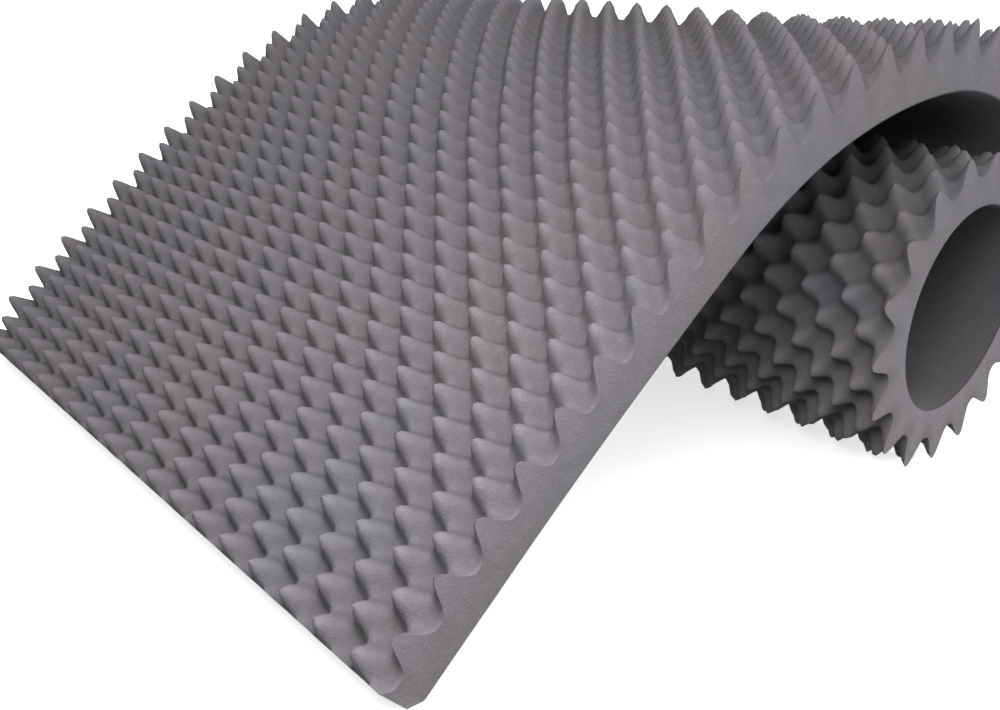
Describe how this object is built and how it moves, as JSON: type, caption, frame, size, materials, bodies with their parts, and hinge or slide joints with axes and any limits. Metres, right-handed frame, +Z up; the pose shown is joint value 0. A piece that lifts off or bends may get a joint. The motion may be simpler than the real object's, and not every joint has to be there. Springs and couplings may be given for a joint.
{
  "type": "egg crate foam topper",
  "caption": "Grey foam mattress topper with staggered egg crate peaks on one face, lying bent in an arch with its end curled under",
  "frame": {"origin": "middle of the overall box in X and Y, on the floor", "axes": "+Z up; +X from the foot of the ramp towards the curl, along the longest extent; Y across the sheet's width"},
  "size_m": [1.037, 0.875, 0.5042],
  "materials": {
    "foam": "matte open-cell polyurethane foam, mid grey"
  },
  "bodies": {
    "root": {"foam_sheet": "foam"}
  },
  "joints": []
}
